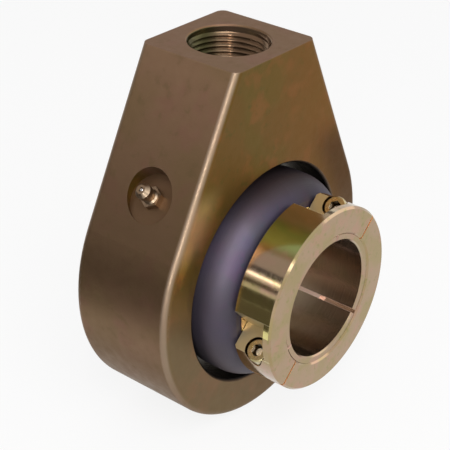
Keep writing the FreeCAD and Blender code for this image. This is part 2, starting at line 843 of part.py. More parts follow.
def make_check_ball():
    """The small ball that closes the fitting's mouth."""
    ball = document.addObject("Part::Sphere", "grease_check_ball")
    ball.Label = "grease_check_ball"
    bind(ball, "Radius", size.CheckBallRadius)
    place_on_fitting(ball, check_ball_height())
    return ball


def make_check_spring():
    """The square-wire spring under the check ball, standing on the ledge of the passage."""
    body = new_body("grease_check_spring")
    wire = size.SpringWireHalf
    inner = size.SpringRadius - wire
    reach = size.CheckBallRadius + size.CheckBallClearance
    low = size.CheckBoreBottom + wire
    high = check_ball_height() - root(reach * reach - inner * inner) - wire
    section = new_sketch(body, "XZ_Plane")
    draw_rectangle(section, inner, size.SpringRadius + wire, low - wire, low + wire)
    coil = add_feature(body, "AdditiveHelix", section)
    coil.ReferenceAxis = (section, ["V_Axis"])
    coil.Mode = "height-turns-angle"
    bind(coil, "Height", high - low)
    bind(coil, "Turns", size.SpringTurns)
    place_on_fitting(body)
    return body


def check_states():
    """Stops where any object of the document failed to build."""
    for thing in document.Objects:
        for state in thing.State:
            if state in ("Invalid", "Error"):
                raise ValueError(thing.Label + " is " + state)


def export_pieces(pieces):
    """Checks every piece's shape and writes it under the piece's name."""
    for piece in pieces:
        shape = piece.Shape
        if shape.isNull() or not shape.isValid() or len(shape.Solids) != 1:
            raise ValueError(piece.Label + " isn't one valid solid")
    os.makedirs(PARTS_FOLDER, exist_ok=True)
    for piece in pieces:
        piece.Shape.exportStep(os.path.join(PARTS_FOLDER, piece.Label + ".step"))
        print(piece.Label, round(piece.Shape.Volume, 1))


pieces = [
    make_housing(),
    make_alignment_pin(),
    make_outer_ring(),
    make_inner_ring(),
    make_cage(),
    make_seal("front_seal", -1),
    make_seal("back_seal", 1),
    make_front_flinger(),
    make_back_flinger(),
    make_collar_upper(),
    make_collar_lower(),
    make_clamp_screw("clamp_screw_left", -1),
    make_clamp_screw("clamp_screw_right", 1),
    make_fitting_body(),
    make_check_ball(),
    make_check_spring(),
]
pieces += make_balls()
document.recompute()
check_states()
export_pieces(pieces)
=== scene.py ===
# %% [markdown]
# A hanger bearing: a tapered cast block hangs from a threaded pipe and holds a ball bearing for a
# line shaft. The solids come from the CAD model in metres, so nothing has to be fitted. This
# notebook gives them their finishes, cuts the pipe's thread, and sets up the studio and the
# camera.

# %% Load the frame
import json
import math
import bpy
import numpy as np
from mathutils import Matrix, Vector


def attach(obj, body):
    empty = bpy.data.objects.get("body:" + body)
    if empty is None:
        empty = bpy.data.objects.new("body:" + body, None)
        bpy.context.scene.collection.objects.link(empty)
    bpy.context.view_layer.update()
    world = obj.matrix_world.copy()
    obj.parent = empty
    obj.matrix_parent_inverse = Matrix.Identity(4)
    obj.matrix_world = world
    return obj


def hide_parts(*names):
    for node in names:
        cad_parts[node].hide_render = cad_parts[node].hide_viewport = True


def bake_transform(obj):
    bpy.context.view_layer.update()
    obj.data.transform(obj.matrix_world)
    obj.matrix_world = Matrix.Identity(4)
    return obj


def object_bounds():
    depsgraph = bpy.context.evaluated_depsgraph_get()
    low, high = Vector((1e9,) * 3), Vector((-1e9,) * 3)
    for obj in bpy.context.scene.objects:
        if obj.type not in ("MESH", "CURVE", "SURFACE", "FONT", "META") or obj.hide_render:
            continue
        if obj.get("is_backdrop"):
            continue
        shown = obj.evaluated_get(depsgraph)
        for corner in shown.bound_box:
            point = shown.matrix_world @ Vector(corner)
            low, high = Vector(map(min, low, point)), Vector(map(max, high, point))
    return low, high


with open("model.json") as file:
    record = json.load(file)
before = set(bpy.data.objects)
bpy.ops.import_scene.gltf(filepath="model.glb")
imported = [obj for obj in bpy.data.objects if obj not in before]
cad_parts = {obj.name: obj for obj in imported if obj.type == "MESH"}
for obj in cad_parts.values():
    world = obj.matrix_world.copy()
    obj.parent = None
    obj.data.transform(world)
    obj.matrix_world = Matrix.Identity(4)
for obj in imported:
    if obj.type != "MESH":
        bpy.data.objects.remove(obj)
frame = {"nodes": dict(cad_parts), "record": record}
cad_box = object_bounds()
nodes = frame["nodes"]
print("nodes:", len(nodes), "box:", [round(v, 4) for corner in cad_box for v in corner])

# %% [markdown]
# Every finish is a node tree, and a tree is a list of nodes and links. Written out in full that
# list hides the idea behind it, so small helpers keep it short: one adds a node and fills its
# sockets, two stand for the nodes that are used most, and one empties a new tree. A value may be
# a number, a colour or another node's output, which is then linked.

# %% Helpers: nodes and links
def fill(tree, socket, value):
    """Links a socket to another node's output, or sets it to a plain value."""
    if isinstance(value, bpy.types.NodeSocket):
        tree.links.new(value, socket)
    else:
        socket.default_value = value


def add(tree, kind, values=None, **settings):
    """Adds a node, sets its properties, and fills or links its inputs by name or number."""
    node = tree.nodes.new(kind)
    for name, value in settings.items():
        setattr(node, name, value)
    for name, value in (values or {}).items():
        fill(tree, node.inputs[name], value)
    return node


def math_node(tree, operation, *values, clamp=False):
    """One arithmetic step, as the output socket of a Math node."""
    return add(tree, "ShaderNodeMath", dict(enumerate(values)),
               operation=operation, use_clamp=clamp).outputs[0]


def mix_colour(tree, factor, first, second):
    """Two colours mixed by a factor. A Mix node keeps its colours at inputs 6 and 7."""
    return add(tree, "ShaderNodeMix", {0: factor, 6: first, 7: second}, data_type="RGBA").outputs[2]


def blank_tree(owner):
    """The emptied node tree of a new material or world."""
    owner.use_nodes = True
    owner.node_tree.nodes.clear()
    return owner.node_tree


print("helpers: fill, add, math_node, mix_colour, blank_tree")

# %% [markdown]
# A mask is a number from 0 to 1 that says where a tint belongs. Painting it by hand would need a
# picture, so each one is worked out from a measure such as a height or an angle: a ramp rises
# between two values, a window is a ramp up and a ramp down, and a product keeps only where masks
# overlap.

# %% Helpers: masks
def ramp(tree, value, low, high, smooth=True):
    """0 below low, 1 above high, and a soft or even rise between; with high below low it falls."""
    return add(tree, "ShaderNodeMapRange", {"Value": value, "From Min": low, "From Max": high},
               interpolation_type="SMOOTHSTEP" if smooth else "LINEAR").outputs[0]


def window(tree, value, low, high, soft):
    """1 where a value lies between two limits, 0 outside, with soft borders."""
    return math_node(tree, "MULTIPLY", ramp(tree, value, low - soft, low),
                     ramp(tree, value, high + soft, high))


def overlap(tree, *masks):
    """The product of several masks."""
    product = masks[0]
    for mask in masks[1:]:
        product = math_node(tree, "MULTIPLY", product, mask)
    return product


def laid_over(tree, colour, *layers):
    """A colour with tints laid over it: each layer is a mask, its share and a screen colour."""
    for mask, share, shade in layers:
        colour = mix_colour(tree, math_node(tree, "MULTIPLY", mask, share), colour, srgb(*shade))
    return colour


def between(tree, value, low, high):
    """A noise, which mostly stays from 0.3 to 0.7, stretched to run between two limits."""
    return add(tree, "ShaderNodeMapRange", {"Value": value, "From Min": 0.3, "From Max": 0.7,
                                            "To Min": low, "To Max": high}).outputs[0]


print("helpers: ramp, window, overlap, laid_over, between")

# %% [markdown]
# The measures come from Object coordinates. Every piece of this part lies at the origin with its
# place in its mesh, so they are metres in the CAD model's own frame: x to the right, y along the
# shaft to the back, z up. A dimension of the part can then be typed straight into a mask.

# %% Helpers: places
def object_point(tree):
    """A point's place on its piece, in metres."""
    return add(tree, "ShaderNodeTexCoord").outputs["Object"]


def dot_product(tree, vector, direction):
    """How far a point lies along a direction."""
    return add(tree, "ShaderNodeVectorMath", {0: vector, 1: direction},
               operation="DOT_PRODUCT").outputs["Value"]


def length_of(tree, x=0.0, y=0.0, z=0.0):
    """The length of a vector that is put together from its parts."""
    vector = add(tree, "ShaderNodeCombineXYZ", {0: x, 1: y, 2: z}).outputs[0]
    return add(tree, "ShaderNodeVectorMath", {0: vector}, operation="LENGTH").outputs["Value"]


def facing_along(tree):
    """How squarely the surface faces along the shaft, 0 to 1."""
    normal = add(tree, "ShaderNodeNewGeometry").outputs["True Normal"]
    return math_node(tree, "ABSOLUTE", add(tree, "ShaderNodeSeparateXYZ", {0: normal}).outputs[1])


def noise(tree, vector, scale, detail=2.0):
    """A soft noise of a place, mostly from 0.3 to 0.7."""
    return add(tree, "ShaderNodeTexNoise",
               {"Vector": vector, "Scale": scale, "Detail": detail}).outputs[0]


print("helpers: object_point, dot_product, length_of, facing_along, noise")

# %% [markdown]
# Colours are written as a screen shows them and turned into the light values that Blender mixes.
# What several finishes share is made once as a node group with named inputs and outputs, and
# placed in each material with its own values.

# %% Helpers: colours and groups
FLOAT, COLOUR = "NodeSocketFloat", "NodeSocketColor"


def srgb(red, green, blue):
    """A screen colour, 0 to 255 each, as light: x / 12.92 where x is 0.04045 or less, and
    ((x + 0.055) / 1.055) to the power 2.4 above it."""
    parts = np.array([red, green, blue]) / 255
    linear = np.where(parts <= 0.04045, parts / 12.92, ((parts + 0.055) / 1.055) ** 2.4)
    return (*[float(part) for part in linear], 1.0)


def new_group(name, inputs, outputs):
    """An empty node group with its inputs and outputs; gives the tree and both end nodes."""
    group = bpy.data.node_groups.new(name, "ShaderNodeTree")
    for label, kind, value in inputs:
        socket = group.interface.new_socket(label, in_out="INPUT", socket_type=kind)
        socket.default_value = value
    for label, kind in outputs:
        group.interface.new_socket(label, in_out="OUTPUT", socket_type=kind)
    return group, group.nodes.new("NodeGroupInput"), group.nodes.new("NodeGroupOutput")


def use_group(tree, group, **values):
    """The outputs of a group that is placed in a material with its own values."""
    node = tree.nodes.new("ShaderNodeGroup")
    node.node_tree = group
    for name, value in values.items():
        node.inputs[name.replace("_", " ")].default_value = value
    return node.outputs


print("a screen's mid grey is", round(srgb(128, 128, 128)[0], 3), "of white's light")

# %% [markdown]
# The block and the collar are plated with yellow zinc. The film is thinner than a wavelength of
# light in places, so its brown drifts towards olive, rose and green in soft clouds some
# centimetres across, with small speckles on top. Three noises at different scales, mixed into
# four colours that each finish chooses, make that drift.

# %% Group: the drifting tint of yellow zinc
tint, ins, outs = new_group(
    "Zinc tint",
    [("Base", COLOUR, (0.2, 0.15, 0.1, 1)), ("Olive", COLOUR, (0.2, 0.18, 0.1, 1)),
     ("Rose", COLOUR, (0.3, 0.18, 0.15, 1)), ("Green", COLOUR, (0.15, 0.2, 0.08, 1)),
     ("Cloud size", FLOAT, 0.03), ("Strength", FLOAT, 0.5)],
    [("Color", COLOUR), ("Clouds", FLOAT)])
spot = object_point(tint)
clouds_per_metre = math_node(tint, "DIVIDE", 1.0, ins.outputs["Cloud size"])
colour = ins.outputs["Base"]
for label, scale, shift, detail, low, high in (
        ("Olive", 1.0, (0.31, 0.17, 0.05), 2.0, 0.42, 0.62),
        ("Rose", 2.3, (0.11, 0.71, 0.37), 2.0, 0.50, 0.68),
        ("Green", 7.0, (0.53, 0.29, 0.83), 3.0, 0.56, 0.74)):
    moved = add(tint, "ShaderNodeVectorMath", {0: spot, 1: shift}, operation="ADD").outputs[0]
    clouds = noise(tint, moved, math_node(tint, "MULTIPLY", clouds_per_metre, scale), detail)
    share = math_node(tint, "MULTIPLY", ramp(tint, clouds, low, high), ins.outputs["Strength"])
    colour = mix_colour(tint, share, colour, ins.outputs[label])
tint.links.new(colour, outs.inputs["Color"])
tint.links.new(clouds, outs.inputs["Clouds"])


def zinc_film(tree, base, olive, rose, green, cloud_size, strength):
    """The drifting tint in the four screen colours of one finish."""
    return use_group(tree, tint, Base=srgb(*base), Olive=srgb(*olive), Rose=srgb(*rose),
                     Green=srgb(*green), Cloud_size=cloud_size, Strength=strength)


print(tint.name, len(tint.nodes), "nodes")

# %% [markdown]
# Several finishes change with a point's place on its piece: how far it is from the shaft's axis,
# and how far across and over the collar's split. One group works those out once. With L for the
# lean of the collar, Over is x sin L + z cos L, and Across is x cos L - z sin L.

# %% Group: place about the shaft
COLLAR_LEAN = math.radians(-43.0)
ACROSS = (math.cos(COLLAR_LEAN), 0, -math.sin(COLLAR_LEAN))
OVER = (math.sin(COLLAR_LEAN), 0, math.cos(COLLAR_LEAN))
place, ins, outs = new_group(
    "Shaft place", [],
    [(label, FLOAT) for label in ("Radius", "Along", "Across", "Over", "Angle", "Height", "Aside")])
spot = object_point(place)
aside, along, height = add(place, "ShaderNodeSeparateXYZ", {0: spot}).outputs
for label, value in (
        ("Radius", length_of(place, x=aside, z=height)),
        ("Along", along), ("Aside", aside), ("Height", height),
        ("Across", dot_product(place, spot, ACROSS)),
        ("Over", dot_product(place, spot, OVER)),
        ("Angle", math_node(place, "DEGREES", math_node(place, "ARCTAN2", height, aside)))):
    place.links.new(value, outs.inputs[label])
print(place.name, len(place.nodes), "nodes")

# %% [markdown]
# A lathe leaves fine rings. On a face they are circles about the shaft's axis, on a bore or a rim
# they are steps along it. The group reads how far a point is from the axis and how far along it,
# and gives a noise that changes only with those two. It can drive roughness, colour and bump.

# %% Group: turning marks about the shaft
MARKS_BREAK_UP = 180.0  # features of the noise that breaks the rings up, in each metre
turning, ins, outs = new_group(
    "Turning marks", [("Pitch", FLOAT, 0.0004), ("Wander", FLOAT, 0.3)], [("Rings", FLOAT)])
spot = object_point(turning)
aside, along, height = add(turning, "ShaderNodeSeparateXYZ", {0: spot}).outputs
tool_path = math_node(turning, "ADD", length_of(turning, x=aside, z=height), along)
turns = math_node(turning, "DIVIDE", tool_path, ins.outputs["Pitch"])
rings = add(turning, "ShaderNodeTexNoise", {"W": turns, "Scale": 1.0, "Detail": 2.0},
            noise_dimensions="1D").outputs[0]
broken = noise(turning, spot, MARKS_BREAK_UP)
softened = add(turning, "ShaderNodeMix", {0: ins.outputs["Wander"], 2: rings, 3: broken}).outputs[0]
turning.links.new(softened, outs.inputs["Rings"])
print(turning.name, len(turning.nodes), "nodes")

# %% [markdown]
# Cast iron keeps the grain of its mould under the plating. Two noises do for it: one of half a
# millimetre for the grain and one of a few millimetres for the slow waves that break up a
# reflection. The same group, finer, is the worn skin of small fittings and of moulded pieces.

# %% Group: cast grain
GRAIN_SHARE = 0.35  # the grain's height beside the waves'
grain, ins, outs = new_group(
    "Cast grain", [("Grain", FLOAT, 0.0007), ("Waves", FLOAT, 0.006)], [("Height", FLOAT)])
spot = object_point(grain)
fine = noise(grain, spot, math_node(grain, "DIVIDE", 1.0, ins.outputs["Grain"]), 3.0)
slow = noise(grain, spot, math_node(grain, "DIVIDE", 1.0, ins.outputs["Waves"]), 1.0)
relief = math_node(grain, "ADD", math_node(grain, "MULTIPLY", fine, GRAIN_SHARE), slow)
grain.links.new(relief, outs.inputs["Height"])
print(grain.name, len(grain.nodes), "nodes")

# %% [markdown]
# Each finish becomes one material with a Principled shader. Metal under a thin film is easiest to
# get right as a coloured metal: the film's tint goes to Base Color, and what the tool or the
# mould left behind goes to Roughness and, as a very low relief, to the normal.

# %% Helpers: materials
materials = {}


def new_material(name, metallic=1.0, roughness=0.5):
    """A material with one Principled shader; gives the material, its tree and the shader."""
    material = bpy.data.materials.new(name)
    tree = blank_tree(material)
    shader = add(tree, "ShaderNodeBsdfPrincipled", {"Metallic": metallic, "Roughness": roughness})
    add(tree, "ShaderNodeOutputMaterial", {"Surface": shader.outputs[0]})
    return material, tree, shader


def finish(tree, shader, colour, relief, depth, roughness=None):
    """Gives a shader its colour, a relief that is depth metres deep, and its roughness."""
    tree.links.new(colour, shader.inputs["Base Color"])
    raised = add(tree, "ShaderNodeBump", {"Strength": 1.0, "Distance": depth, "Height": relief})
    tree.links.new(raised.outputs[0], shader.inputs["Normal"])
    if roughness is not None:
        tree.links.new(roughness, shader.inputs["Roughness"])


def keep(slot, material):
    """Files a finished material under its slot's name."""
    materials[slot] = material
    print(slot, "->", material.name, len(material.node_tree.nodes), "nodes")


print("helpers: new_material, finish, keep")

# %% [markdown]
# The block is a fine-grained casting with a brown zinc film. Its front and back lean to olive. On
# the front painted shade darkens the film beside the right taper, a painted glow from the rounded
# edge lightens it where the left taper begins, and the film is warmer to the right and greyer
# below. Each of those is a layer of its own, and one noise all over the block could not show that.

# %% Colour of the block's front and back
FRONT_FILM = ((101, 75, 34), (95, 79, 32), (122, 80, 42), (85, 75, 32), 0.022, 0.65)
RIGHT_TAPER, LEFT_TAPER = (0.897, 0, 0.442), (-0.897, 0, 0.442)


def front_colour(tree, here):
    """The faces' film, warmer and greyer in places, with painted shade and a painted glow over it.
    """
    spot = object_point(tree)
    height = here["Height"]
    forward = ramp(tree, here["Along"], 0.0, -0.02)
    # painted shade on the front beside the right taper
    darker = overlap(tree, forward, ramp(tree, dot_product(tree, spot, RIGHT_TAPER), 0.041, 0.058),
                     ramp(tree, height, 0.062, 0.042))
    # painted glow on the front where the rounded left edge catches the light
    paler = overlap(tree, forward, ramp(tree, dot_product(tree, spot, LEFT_TAPER), 0.048, 0.061),
                    window(tree, height, 0.034, 0.046, 0.011))
    return laid_over(tree, zinc_film(tree, *FRONT_FILM)["Color"],
                     (ramp(tree, here["Aside"], -0.02, 0.04), 0.55, (120, 76, 26)),  # warmer
                     (darker, 0.85, (72, 44, 10)),
                     (paler, 0.6, (160, 128, 96)),
                     (ramp(tree, height, 0.030, -0.010), 0.5, (120, 102, 82)))  # greyer


print("the front film starts from screen colour", FRONT_FILM[0])

# %% [markdown]
# The rest of the block has places of its own. Its rounded edges get a painted highlight, the seat
# inside is painted nearly black as shade, and the tapped hole is shiny, browner, and darker and
# greener on one side. Each place is where a few measures of the part overlap, so the masks use its
# dimensions.

# %% Masks of the block's own places
FACE_DISTANCE, SEAT_REACH, TOP_HEIGHT = 0.0240, 0.0512, 0.0974
PIPE_REACH, PIPE_FLOOR = 0.0167, 0.0660
DARK_GREEN_SIDE = (-0.618, 0.786, 0.0)  # the direction in which the hole gets greener


def edge_highlight_mask(tree, here, facing):
    """1 on the rounded edges between a face and the sides, fading out to the foot: painted
    highlight.
    """
    along = math_node(tree, "ABSOLUTE", here["Along"])
    return overlap(tree, ramp(tree, facing, 0.08, 0.35), ramp(tree, facing, 0.97, 0.80),
                   ramp(tree, along, FACE_DISTANCE - 0.0037, FACE_DISTANCE - 0.0029),
                   ramp(tree, here["Height"], -0.06, -0.01))


def seat_shade_mask(tree, here):
    """1 inside the mouth and the spherical seat, where painted shade goes."""
    along = math_node(tree, "ABSOLUTE", here["Along"])
    return overlap(tree, ramp(tree, here["Radius"], SEAT_REACH + 0.0006, SEAT_REACH),
                   ramp(tree, along, FACE_DISTANCE, FACE_DISTANCE - 0.0008))


def pipe_hole_masks(tree, here):
    """1 inside the tapped hole, and 1 on its darker, greener side."""
    from_middle = length_of(tree, x=here["Aside"], y=here["Along"])
    tapped = overlap(tree, ramp(tree, from_middle, PIPE_REACH + 0.0002, PIPE_REACH),
                     ramp(tree, here["Height"], PIPE_FLOOR - 0.0005, PIPE_FLOOR))
    drift = dot_product(tree, object_point(tree), DARK_GREEN_SIDE)
    return tapped, overlap(tree, tapped, ramp(tree, drift, 0.001, 0.010))


print("pipe hole: within", PIPE_REACH, "m of its middle and above", PIPE_FLOOR, "m")

# %% [markdown]
# The block's sides and top are a rosy brown. Painted shade darkens the sides where they curve in
# under the taper and again at the foot. A normal map would be the wrong tool for the change from
# side to face, because only the colour changes, so the direction that the surface faces chooses
# between the two films. The plating is a little less shiny than bare metal: Metallic is under 1,
# and what is left of the plain gloss is weak and warm.

# %% Material: plated casting
SIDE_FILM = ((121, 95, 73), (113, 93, 64), (123, 89, 74), (107, 89, 62), 0.030, 0.5)


def plated_casting():
    """The block's metal: the two films, with painted shade, highlight and other places over them.
    """
    material, tree, shader = new_material("Plated casting", metallic=0.75)
    shader.inputs["Specular IOR Level"].default_value = 0.25
    shader.inputs["Specular Tint"].default_value = (0.84, 0.78, 0.72, 1)
    here = use_group(tree, place)
    height, facing = here["Height"], facing_along(tree)
    side = zinc_film(tree, *SIDE_FILM)
    beside = ramp(tree, facing, 0.5, 0.2)
    # painted shade where the sides curve in under the taper
    waist_shade = overlap(tree, beside, ramp(tree, height, 0.004, 0.018),
                    ramp(tree, height, 0.095, 0.034, smooth=False))
    top = ramp(tree, height, TOP_HEIGHT - 0.0004, TOP_HEIGHT)
    # painted shade at the foot
    foot = overlap(tree, beside, ramp(tree, height, -0.008, -0.022))
    tapped, dark_green_side = pipe_hole_masks(tree, here)
    colour = mix_colour(tree, ramp(tree, facing, 0.45, 0.95), side["Color"],
                        front_colour(tree, here))
    colour = laid_over(tree, colour,
                       (waist_shade, 0.42, (66, 52, 32)),
                       (top, 0.3, (150, 122, 104)),
                       (foot, 0.6, (98, 74, 48)),
                       # painted highlight on the rounded edges
                       (edge_highlight_mask(tree, here, facing), 0.5, (156, 138, 120)),
                       # painted shade: the seat inside is painted nearly black
                       (seat_shade_mask(tree, here), 1.0, (18, 14, 14)),
                       (tapped, 0.85, (124, 102, 82)),
                       # darker and greener on one side of the hole
                       (dark_green_side, 0.9, (62, 62, 34)))
    rough = between(tree, side["Clouds"], 0.34, 0.46)
    rough = math_node(tree, "MULTIPLY_ADD", tapped, -0.24, rough)
    rough = math_node(tree, "MULTIPLY_ADD", top, 0.14, rough)
    relief = use_group(tree, grain, Grain=0.0009, Waves=0.007)["Height"]
    finish(tree, shader, colour, relief, 0.00008, rough)
    return material


keep("cast_housing", plated_casting())

# %% [markdown]
# The collar is turned from bar, split in two, milled for its screws and then plated, so its gold
# is brighter than the block's. On the rim the tints run from cream through green to rose, round
# the shaft: partly the film's own drift, partly painted reflection of the studio on the polished
# rim. That is a change with the angle, and a window of angles gives each tint its place.
# The sawn faces of the split and the floors of the notches keep the milling cutter's duller
# finish.

# %% Material: turned and plated collar
COLLAR_FILM = ((169, 144, 116), (157, 142, 94), (178, 140, 119), (138, 134, 80), 0.014, 0.6)
COLLAR_SEAT, COLLAR_RIM = 0.0283, 0.0392
SPLIT_HALF, NOTCH_FLOOR, NOTCH_WALL = 0.00052, 0.0172, 0.0245
# tints of the rim, partly the film's own and partly painted reflection
RIM_TINTS_AND_REFLECTIONS = (  # from and to in degrees, soft border, share, screen colour
    (92, 108, 10, 0.7, (222, 216, 190)), (116, 124, 8, 0.8, (178, 208, 134)),
    (134, 142, 4, 0.6, (200, 184, 166)), (160, 180, 8, 0.7, (236, 226, 150)))


def cutter_masks(tree, here, facing):
    """1 on the sawn faces of the split, and 1 on the milled floors and walls of the notches."""
    over, across = here["Over"], math_node(tree, "ABSOLUTE", here["Across"])
    parted = ramp(tree, math_node(tree, "ABSOLUTE", over), SPLIT_HALF + 0.00006, SPLIT_HALF)
    floors = overlap(tree, window(tree, over, NOTCH_FLOOR - 0.0002, NOTCH_FLOOR + 0.0002, 0.0001),
                     ramp(tree, across, NOTCH_WALL - 0.0005, NOTCH_WALL - 0.0001))
    walls = overlap(tree, window(tree, across, NOTCH_WALL - 0.00005, NOTCH_WALL + 0.00005, 0.0001),
                    ramp(tree, over, NOTCH_FLOOR - 0.0007, NOTCH_FLOOR - 0.0002))
    milled = overlap(tree, math_node(tree, "MAXIMUM", floors, walls),
                     ramp(tree, facing, 0.6, 0.3))
    return parted, milled


def plated_turning():
    """The collar's gold: film, rim tints and painted reflection, pale seat, the cutter's dull
    places.
    """
    material, tree, shader = new_material("Plated turning")
    here = use_group(tree, place)
    radius, facing = here["Radius"], facing_along(tree)
    rim = overlap(tree, ramp(tree, facing, 0.8, 0.3),
                  ramp(tree, radius, COLLAR_RIM - 0.0007, COLLAR_RIM))
    seat = overlap(tree, ramp(tree, radius, COLLAR_SEAT + 0.00015, COLLAR_SEAT),
                   ramp(tree, facing, 0.5, 0.3))
    parted, milled = cutter_masks(tree, here, facing)
    rim_tints_and_reflections = [(overlap(tree, rim, window(tree, here["Angle"], low, high, soft)), share, shade)
                 for low, high, soft, share, shade in RIM_TINTS_AND_REFLECTIONS]
    colour = laid_over(tree, zinc_film(tree, *COLLAR_FILM)["Color"], *rim_tints_and_reflections,
                       (seat, 1.0, (252, 228, 210)),
                       (parted, 1.0, (250, 206, 150)),
                       (milled, 1.0, (206, 192, 152)))
    rings = use_group(tree, turning, Pitch=0.0005, Wander=0.35)["Rings"]
    rough = math_node(tree, "MULTIPLY_ADD", math_node(tree, "MAXIMUM", milled, parted), 0.3,
                      between(tree, rings, 0.08, 0.16))
    finish(tree, shader, colour, rings, 0.000003, rough)
    return material


keep("gold_collar", plated_turning())

# %% [markdown]
# The inner ring's nose shows inside the collar: its end face has the collar's film, while its
# bore is ground and redder, with painted light above and painted shade below. Three slots cut
# through the nose let the collar squeeze it on the shaft. A paler tint follows each slot's plane,
# which a dot product with the plane's direction finds: on the slot's walls and on the bore beyond
# the slot it is a painted reflection, the light line along the bore.

# %% Material: ground and plated ring
BORE_FILM = ((188, 168, 150), (180, 166, 138), (192, 162, 150), (170, 160, 132), 0.014, 0.5)
CLAMP_SLOT_ANGLES = (-38.0, 82.0, 202.0)
CLAMP_SLOT_HALF, NOSE_RADIUS = 0.00082, 0.0281


def slot_line_mask(tree, facing):
    """1 in the planes of the three clamp slots, from the axis out, off end faces: painted
    reflection.
    """
    spot = object_point(tree)
    painted_slot_line = 0.0
    for degrees in CLAMP_SLOT_ANGLES:
        cosine, sine = math.cos(math.radians(degrees)), math.sin(math.radians(degrees))
        beside = math_node(tree, "ABSOLUTE", dot_product(tree, spot, (-sine, 0, cosine)))
        near = overlap(tree, ramp(tree, beside, CLAMP_SLOT_HALF + 0.00006, CLAMP_SLOT_HALF),
                       ramp(tree, dot_product(tree, spot, (cosine, 0, sine)), 0.0, 0.001))
        painted_slot_line = math_node(tree, "MAXIMUM", painted_slot_line, near)
    return overlap(tree, painted_slot_line, ramp(tree, facing, 0.5, 0.3))


def plated_ring():
    """The inner ring: the ground bore with painted light and shade, its ends' film and its slots'
    line.
    """
    material, tree, shader = new_material("Plated ring")
    here = use_group(tree, place)
    height, facing = here["Height"], facing_along(tree)
    ends = ramp(tree, facing, 0.5, 0.8)
    slot_ends = overlap(tree, ends, window(tree, here["Along"], -0.052, -0.030, 0.001),
                        ramp(tree, here["Radius"], NOSE_RADIUS + 0.0002, NOSE_RADIUS))
    painted_slot_line = slot_line_mask(tree, facing)
    colour = laid_over(tree, zinc_film(tree, *BORE_FILM)["Color"],
                       # painted light above and painted shade below on the bore
                       (ramp(tree, height, 0.002, 0.020), 0.6, (250, 246, 244)),  # above
                       (ramp(tree, height, -0.004, -0.016), 0.5, (120, 112, 92)))  # below
    colour = mix_colour(tree, ends, colour, zinc_film(tree, *COLLAR_FILM)["Color"])
    colour = laid_over(tree, colour,
                       (slot_ends, 1.0, (84, 60, 48)),
                       # painted reflection along the slots' planes
                       (painted_slot_line, 1.0, (232, 206, 190)))
    rings = use_group(tree, turning, Pitch=0.0008, Wander=0.3)["Rings"]
    rough = math_node(tree, "MULTIPLY_ADD", painted_slot_line, 0.4, between(tree, rings, 0.16, 0.26))
    finish(tree, shader, colour, rings, 0.000003, rough)
    return material


keep("zinc_ring", plated_ring())

# %% [markdown]
# The domed shield is pressed from sheet and has a violet conversion coat. The coat is a thin matt
# film over metal, so the shader is mostly metal with a high roughness. Its tint changes with the
# height on the dome, from brown at the top through violet to grey. The brown at the top is painted
# shadow, and painted shade darkens the lower half and most of all the upper right, under the
# block. Each change is again a mask, a share and a tint.

# %% Material: violet conversion coat on the shield
VIOLET_FILM = ((80, 74, 96), (76, 74, 80), (88, 68, 94), (64, 76, 88), 0.020, 0.6)


def violet_coat():
    """The shield's coat: the film, with painted shade and other places round the dome laid over it.
    """
    material, tree, shader = new_material("Violet coat", metallic=0.68)
    here = use_group(tree, place)
    height = here["Height"]
    # painted shade at the upper right, under the block
    upper_right_shade = overlap(tree, ramp(tree, height, 0.016, 0.034),
                          ramp(tree, here["Aside"], -0.006, 0.016))
    colour = laid_over(tree, zinc_film(tree, *VIOLET_FILM)["Color"],
                       (ramp(tree, here["Radius"], 0.0395, 0.0435), 0.6, (94, 84, 96)),  # rim
                       # painted shade over the lower half
                       (ramp(tree, height, 0.024, 0.004), 0.65, (66, 60, 68)),  # lower half
                       (ramp(tree, height, -0.004, -0.024), 0.4, (76, 70, 70)),  # foot
                       # painted shadow at the top
                       (ramp(tree, height, 0.031, 0.047), 0.9, (46, 32, 26)),  # top
                       (upper_right_shade, 0.6, (30, 22, 22)))
    rings = use_group(tree, turning, Pitch=0.0006, Wander=0.5)["Rings"]
    finish(tree, shader, colour, rings, 0.000006, between(tree, rings, 0.50, 0.62))
    return material


keep("violet_shield", violet_coat())

# %% [markdown]
# The small steel pieces differ only in colour and polish: slinger, pin, outer ring, balls, spring
# and fitting. One function serves them all. Turned pieces get the lathe's rings. The fitting,
# whose own axis points elsewhere, gets a fine worn grain instead.

# %% Materials: plain steels
DARKER = 0.82  # how much light the clouds of a plain steel still give


def plain_metal(name, colour, roughness, turned=True):
    """Bare or zinc-plated steel, with faint turning marks where it was turned about the shaft."""
    material, tree, shader = new_material(name)
    dark = tuple(part * DARKER for part in colour[:3]) + (1.0,)
    film = use_group(tree, tint, Base=colour, Olive=dark, Rose=colour, Green=dark,
                     Cloud_size=0.012, Strength=0.6)
    if turned:
        relief = use_group(tree, turning, Pitch=0.0004, Wander=0.4)["Rings"]
    else:
        relief = use_group(tree, grain, Grain=0.0003, Waves=0.002)["Height"]
    finish(tree, shader, film["Color"], relief, 0.000006,
           between(tree, relief, roughness * 0.8, roughness * 1.2))
    return material


keep("zinc_shield", plain_metal("Zinc shield", srgb(172, 164, 148), 0.3))
keep("pin_steel", plain_metal("Ground pin", srgb(170, 168, 164), 0.25))
keep("bearing_steel", plain_metal("Bearing steel", srgb(112, 108, 102), 0.3))
keep("ball_steel", plain_metal("Polished ball", srgb(205, 205, 205), 0.08))
keep("spring_steel", plain_metal("Spring steel", srgb(150, 148, 145), 0.3))
keep("zinc_fitting", plain_metal("Plated fitting", srgb(158, 138, 116), 0.28, turned=False))

# %% [markdown]
# The clamp screws are socket head screws. The socket's walls get painted shade, and the drill
# point at the bottom gets a painted highlight. Both are places on the screw, measured from its own
# axis: Across and Along give the distance from it, and Over gives the depth.

